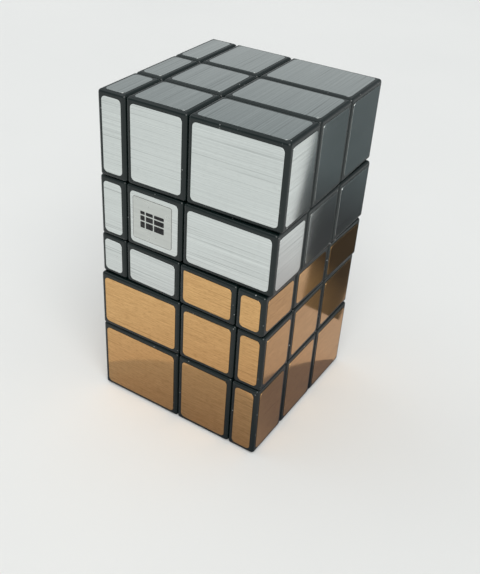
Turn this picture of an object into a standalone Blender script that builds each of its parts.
"""Conjoined mirror block puzzle: two 3x3 mirror cubes that share one short middle row.

The upper cube (silver) and the lower cube (copper) are the same mechanism. The lower one is the
upper one turned half a turn about the depth axis, so its layers run wide-to-thin where the upper
one's run thin-to-wide, and its short row is on top. The two short rows are the same row.

Row frame, in metres: origin at the bottom centre of the bounding box, +X to the right along the
front, the front face towards -Y, +Z up. Each block is modelled about its own cube's core.
"""

from itertools import product
from math import cos, pi, radians, sin

import bmesh
import bpy
from mathutils import Euler, Matrix, Vector

MM = 0.001

# Layer thicknesses. Every direction has a middle layer and two unequal outer ones.
MID = 19.0 * MM
THIN, WIDE = 9.2 * MM, 28.8 * MM
FRONT, BACK = 16.6 * MM, 21.4 * MM
SHORT, TALL = 13.3 * MM, 24.7 * MM

# How far the loose layers stand turned from square, each measured from the layer it turns on.
SILVER_MID_TURN = radians(1.3)
SILVER_TOP_TURN = radians(1.4)
COPPER_MID_TURN = radians(1.2)
COPPER_BASE_TURN = radians(-0.6)

# Blocks
SEAM = 0.30 * MM            # gap between two neighbouring blocks
CHAMFER = 0.80 * MM         # on every block edge

# Interlock, as distances from the core: feet run in a ball-shaped cavity under the blocks.
CAVITY_RADIUS = 18.7 * MM   # the undersides of the blocks are cut back to this ball
FOOT_RADIUS = 17.9 * MM     # the feet fill this ball
FOOT_HALF = 5.35 * MM       # half width of an edge block's foot
FOOT_START = 5.65 * MM      # where the next foot begins
NECK_HALF = 5.0 * MM        # half width of the neck that joins a block to its foot
BALL_SEGMENTS, BALL_RINGS = 20, 10

# Core and tension screws
CORE_RADIUS = 7.0 * MM
CORE_SEGMENTS, CORE_RINGS = 14, 7
ARM_RADIUS, ARM_END = 3.6 * MM, 9.2 * MM
BORE_RADIUS, BORE_START = 1.5 * MM, 3.4 * MM
WELL_RADIUS, WELL_START, WELL_END = 3.0 * MM, 11.5 * MM, 17.2 * MM
SHANK_RADIUS, SHANK_START = 1.2 * MM, 4.0 * MM
HEAD_RADIUS, HEAD_START, HEAD_END = 2.6 * MM, 14.4 * MM, 16.2 * MM
CROSS_LENGTH, CROSS_WIDTH, CROSS_DEPTH = 3.2 * MM, 0.8 * MM, 0.9 * MM
SCREW_SIDES = 12

# Where the cores are, from the upper cube's front left edge at the base
SILVER_CORE = Vector((THIN + MID / 2, FRONT + MID / 2, TALL + MID + SHORT + MID / 2))
CORE_STEP = Vector((MID, 0, -(MID + SHORT)))
COPPER_CORE = SILVER_CORE + CORE_STEP

# Outer layer thickness on the low side and on the high side of x, y and z
SILVER_LAYERS = ((THIN, WIDE), (FRONT, BACK), (SHORT, TALL))
COPPER_LAYERS = ((WIDE, THIN), (FRONT, BACK), (TALL, SHORT))

SIDES = {-1: "left", 0: "", 1: "right"}
DEPTHS = {-1: "front", 0: "", 1: "back"}
SCREWS = {
    "left": (-1, 0, 0),
    "right": (1, 0, 0),
    "front": (0, -1, 0),
    "back": (0, 1, 0),
    "lower": (0, 0, -1),
    "upper": (0, 0, 1),
}


# ---------------------------------------------------------------- scene and materials

def clear_scene():
    for obj in list(bpy.data.objects):
        bpy.data.objects.remove(obj, do_unlink=True)


def plastic(name, colour, roughness):
    material = bpy.data.materials.new(name)
    material.use_nodes = True
    shader = material.node_tree.nodes["Principled BSDF"]
    shader.inputs["Base Color"].default_value = (*colour, 1.0)
    shader.inputs["Roughness"].default_value = roughness
    return material


def steel(name, colour, roughness):
    material = plastic(name, colour, roughness)
    material.node_tree.nodes["Principled BSDF"].inputs["Metallic"].default_value = 1.0
    return material


def add_object(name, mesh):
    obj = bpy.data.objects.new(name, mesh)
    bpy.context.scene.collection.objects.link(obj)
    return obj


def object_from_bmesh(name, bm):
    bmesh.ops.recalc_face_normals(bm, faces=bm.faces)
    mesh = bpy.data.meshes.new(name)
    bm.to_mesh(mesh)
    bm.free()
    return add_object(name, mesh)


def joint_frame(name, parent, location, turn):
    """An empty on a joint's axis, turned about +Z from its parent."""
    empty = add_object(name, None)
    empty.parent = parent
    empty.location = location
    empty.rotation_euler = Euler((0, 0, turn))
    return empty


# ---------------------------------------------------------------- solids and booleans

def box(low, high, chamfer=0.0):
    """A box between two corners, with its edges chamfered if asked."""
    low, high = Vector(low), Vector(high)
    bm = bmesh.new()
    bmesh.ops.create_cube(bm, size=1.0)
    bmesh.ops.scale(bm, vec=high - low, verts=bm.verts)
    bmesh.ops.translate(bm, vec=(low + high) / 2, verts=bm.verts)
    if chamfer:
        bmesh.ops.bevel(bm, geom=bm.edges[:], offset=chamfer, segments=1, affect="EDGES")
    return object_from_bmesh("box", bm)


def ball(radius, centre=(0, 0, 0), segments=BALL_SEGMENTS, rings=BALL_RINGS):
    bm = bmesh.new()
    bmesh.ops.create_uvsphere(bm, u_segments=segments, v_segments=rings, radius=radius)
    bmesh.ops.translate(bm, vec=Vector(centre), verts=bm.verts)
    return object_from_bmesh("ball", bm)


def turned(profile, direction):
    """A solid of revolution. The profile is (radius, distance) pairs along the direction."""
    bm = bmesh.new()
    rings = []
    for radius, distance in profile:
        if radius == 0:
            rings.append([bm.verts.new((0, 0, distance))])
            continue
        angles = [2 * pi * k / SCREW_SIDES for k in range(SCREW_SIDES)]
        rings.append([bm.verts.new((radius * cos(a), radius * sin(a), distance)) for a in angles])
    for lower, upper in zip(rings, rings[1:]):
        for k in range(SCREW_SIDES):
            n = (k + 1) % SCREW_SIDES
            if len(lower) == 1:
                bm.faces.new((lower[0], upper[n], upper[k]))
            elif len(upper) == 1:
                bm.faces.new((lower[k], lower[n], upper[0]))
            else:
                bm.faces.new((lower[k], lower[n], upper[n], upper[k]))
    aim = Vector((0, 0, 1)).rotation_difference(Vector(direction)).to_matrix()
    bmesh.ops.rotate(bm, matrix=aim, verts=bm.verts)
    return object_from_bmesh("turned", bm)


def combine(target, tool, operation):
    """Apply one exact Boolean to the target and delete the tool."""
    modifier = target.modifiers.new(operation, "BOOLEAN")
    modifier.operation = operation
    modifier.solver = "EXACT"
    modifier.object = tool
    bpy.context.view_layer.update()
    graph = bpy.context.evaluated_depsgraph_get()
    result = bpy.data.meshes.new_from_object(target.evaluated_get(graph))
    target.modifiers.clear()
    old = target.data
    target.data = result
    bpy.data.meshes.remove(old)
    bpy.data.objects.remove(tool, do_unlink=True)
    return target


def cut(target, tool):
    return combine(target, tool, "DIFFERENCE")


def join(target, tool):
    return combine(target, tool, "UNION")


def keep_inside(target, tool):
    return combine(target, tool, "INTERSECT")


# ---------------------------------------------------------------- the interlock

def span(index, inner, outer, half):
    """The stretch along one axis: across the middle, or from inner to outer on one side."""
    if index == 0:
        return -half, half
    return (inner, outer) if index > 0 else (-outer, -inner)


def region(cell, inner, outer, half, centre=(0, 0, 0)):
    """The box that belongs to a cell, as (low corner, high corner)."""
    spans = [span(index, inner, outer, half) for index in cell]
    low = Vector([s[0] for s in spans]) + Vector(centre)
    high = Vector([s[1] for s in spans]) + Vector(centre)
    return low, high


def block_bounds(cell, layers):
    """A block's corners from its cell and its cube's outer layer thicknesses."""
    low, high = [], []
    for index, (below, above) in zip(cell, layers):
        if index < 0:
            low.append(-MID / 2 - below)
            high.append(-MID / 2 - SEAM / 2)
        elif index > 0:
            low.append(MID / 2 + SEAM / 2)
            high.append(MID / 2 + above)
        else:
            low.append(-MID / 2 + SEAM / 2)
            high.append(MID / 2 - SEAM / 2)
    return low, high


def undercut(cell, centre=(0, 0, 0)):
    """The ball-shaped cavity under a block, less the neck that the block keeps."""
    cavity = ball(CAVITY_RADIUS, centre)
    neck = box(*region(cell, 0, 2 * CAVITY_RADIUS, NECK_HALF, centre))
    return cut(cavity, neck)


def foot(cell, centre=(0, 0, 0)):
    """The part of a block that reaches under its neighbours."""
    wedge = box(*region(cell, FOOT_START, 2 * FOOT_RADIUS, FOOT_HALF, centre))
    return keep_inside(wedge, ball(FOOT_RADIUS, centre))


def interlock(block, cell, centre=(0, 0, 0)):
    """Give a block its undercut and its foot for one cube's mechanism."""
    faces_out = sum(abs(index) for index in cell)
    if faces_out < 3:
        cut(block, undercut(cell, centre))
    if faces_out > 1:
        join(block, foot(cell, centre))


def screw_well(direction):
    """The bore for a tension screw's shank, and the wider well for its spring and head."""
    profile = (
        (0, ARM_END - SEAM),
        (BORE_RADIUS, ARM_END - SEAM),
        (BORE_RADIUS, WELL_START),
        (WELL_RADIUS, WELL_START),
        (WELL_RADIUS, WELL_END),
        (0, WELL_END),
    )
    return turned(profile, direction)


def make_block(cell, layers, other_cell=None, other_core=None):
    """One block. A bridge block also carries a foot for the other cube's mechanism."""
    block = box(*block_bounds(cell, layers), chamfer=CHAMFER)
    interlock(block, cell)
    if other_cell:
        interlock(block, other_cell, other_core)
    if sum(abs(index) for index in cell) == 1:
        cut(block, screw_well(cell))
    return block


# ---------------------------------------------------------------- core and screws

def make_core():
    """The ball that the six tension screws thread into, with an arm for each."""
    core = ball(CORE_RADIUS, segments=CORE_SEGMENTS, rings=CORE_RINGS)
    for direction in SCREWS.values():
        arm = ((0, 0), (ARM_RADIUS, 0), (ARM_RADIUS, ARM_END), (0, ARM_END))
        join(core, turned(arm, direction))
    for direction in SCREWS.values():
        top = ARM_END + SEAM
        bore = ((0, BORE_START), (BORE_RADIUS, BORE_START), (BORE_RADIUS, top), (0, top))
        cut(core, turned(bore, direction))
    return core


def cross_recess():
    """A plus-shaped prism that sinks into a screw's head."""
    reach, half = CROSS_LENGTH / 2, CROSS_WIDTH / 2
    outline = []
    for quarter in range(4):
        turn = Matrix.Rotation(quarter * pi / 2, 2)
        outline += [turn @ Vector(corner) for corner in ((reach, -half), (reach, half), (half, half))]
    bm = bmesh.new()
    floor = [bm.verts.new((*point, HEAD_END - CROSS_DEPTH)) for point in outline]
    top = [bm.verts.new((*point, HEAD_END + CROSS_DEPTH)) for point in outline]
    bm.faces.new(reversed(floor))
    bm.faces.new(top)
    for k in range(len(outline)):
        n = (k + 1) % len(outline)
        bm.faces.new((floor[k], floor[n], top[n], top[k]))
    return object_from_bmesh("cross", bm)


def make_screw(direction):
    """A pan-head tension screw with a cross recess."""
    profile = (
        (0, SHANK_START),
        (SHANK_RADIUS, SHANK_START),
        (SHANK_RADIUS, HEAD_START),
        (HEAD_RADIUS, HEAD_START),
        (HEAD_RADIUS, HEAD_END),
        (0, HEAD_END),
    )
    screw = turned(profile, (0, 0, 1))
    cut(screw, cross_recess())
    aim = Vector((0, 0, 1)).rotation_difference(Vector(direction)).to_matrix()
    screw.data.transform(aim.to_4x4())
    return screw


# ---------------------------------------------------------------- naming and assembly

def block_name(cube, layer, cell):
    """For instance silver_top_front_left_corner, or copper_mid_back_centre."""
    outer = sum(abs(index) for index in cell)
    kind = {1: "centre", 2: "edge", 3: "corner"}[outer]
    words = (cube, layer, DEPTHS[cell[1]], SIDES[cell[0]], kind)
    return "_".join(word for word in words if word)


def finish_node(obj, name, parent, material, offset=(0, 0, 0)):
    """Name a finished solid and hang it on its joint frame."""
    obj.name = name
    obj.data.name = name
    obj.data.materials.clear()
    obj.data.materials.append(material)
    obj.parent = parent
    obj.location = offset
    return obj


def add_layer(cube, layer, height, layers, parent, material):
    """All the blocks of one free layer of a cube."""
    for y, x in product((-1, 0, 1), repeat=2):
        cell = (x, y, height)
        if cell != (0, 0, 0):
            finish_node(make_block(cell, layers), block_name(cube, layer, cell), parent, material)


def add_shared_row(parent, silver_place, copper_place, material):
    """The fused middle row: half its blocks are the upper cube's, half the lower cube's."""
    for y in (-1, 0, 1):
        place = {-1: "front", 0: "centre", 1: "back"}[y]
        cell = (-1, y, -1)
        outer = make_block(cell, SILVER_LAYERS)
        finish_node(outer, block_name("silver", "low", cell), parent, material, silver_place)
        bridge = make_block((0, y, -1), SILVER_LAYERS, (-1, y, 1), CORE_STEP)
        finish_node(bridge, f"silver_bridge_{place}", parent, material, silver_place)
        bridge = make_block((0, y, 1), COPPER_LAYERS, (1, y, -1), -CORE_STEP)
        finish_node(bridge, f"copper_bridge_{place}", parent, material, copper_place)
        cell = (1, y, 1)
        outer = make_block(cell, COPPER_LAYERS)
        finish_node(outer, block_name("copper", "high", cell), parent, material, copper_place)


def add_core(cube, parent, core_material, screw_material):
    finish_node(make_core(), f"{cube}_core", parent, core_material)
    for side, direction in SCREWS.items():
        finish_node(make_screw(direction), f"{cube}_{side}_screw", parent, screw_material)


def plan_corners(core, layers, turn):
    """The corners of a layer's outline seen from above, turned about its core."""
    (left, right), (front, back), _ = layers
    spin = Matrix.Rotation(turn, 2)
    for x in (-MID / 2 - left, MID / 2 + right):
        for y in (-MID / 2 - front, MID / 2 + back):
            yield core.xy + spin @ Vector((x, y))


def plan_centre():
    """The middle of the outline's bounding rectangle, all five layers as they stand."""
    corners = []
    for turn in (SILVER_MID_TURN, SILVER_MID_TURN + SILVER_TOP_TURN):
        corners += plan_corners(SILVER_CORE, SILVER_LAYERS, turn)
    for turn in (COPPER_MID_TURN, COPPER_MID_TURN + COPPER_BASE_TURN):
        corners += plan_corners(COPPER_CORE, COPPER_LAYERS, turn)
    xs = [corner.x for corner in corners]
    ys = [corner.y for corner in corners]
    return Vector(((min(xs) + max(xs)) / 2, (min(ys) + max(ys)) / 2, 0))


def build():
    clear_scene()
    block_plastic = plastic("black_plastic", (0.020, 0.026, 0.028), 0.38)
    core_plastic = plastic("core_plastic", (0.62, 0.63, 0.62), 0.50)
    screw_steel = steel("screw_steel", (0.60, 0.60, 0.58), 0.35)

    centre = plan_centre()
    silver_place = SILVER_CORE - centre
    copper_place = COPPER_CORE - centre
    middle = joint_frame("middle_row_frame", None, (0, 0, 0), 0)
    silver_mid = joint_frame("silver_mid_frame", middle, silver_place, SILVER_MID_TURN)
    silver_top = joint_frame("silver_top_frame", silver_mid, (0, 0, 0), SILVER_TOP_TURN)
    copper_mid = joint_frame("copper_mid_frame", middle, copper_place, COPPER_MID_TURN)
    copper_base = joint_frame("copper_base_frame", copper_mid, (0, 0, 0), COPPER_BASE_TURN)

    add_layer("silver", "top", 1, SILVER_LAYERS, silver_top, block_plastic)
    add_layer("silver", "mid", 0, SILVER_LAYERS, silver_mid, block_plastic)
    add_shared_row(middle, silver_place, copper_place, block_plastic)
    add_layer("copper", "mid", 0, COPPER_LAYERS, copper_mid, block_plastic)
    add_layer("copper", "base", -1, COPPER_LAYERS, copper_base, block_plastic)
    add_core("silver", silver_mid, core_plastic, screw_steel)
    add_core("copper", copper_mid, core_plastic, screw_steel)


build()
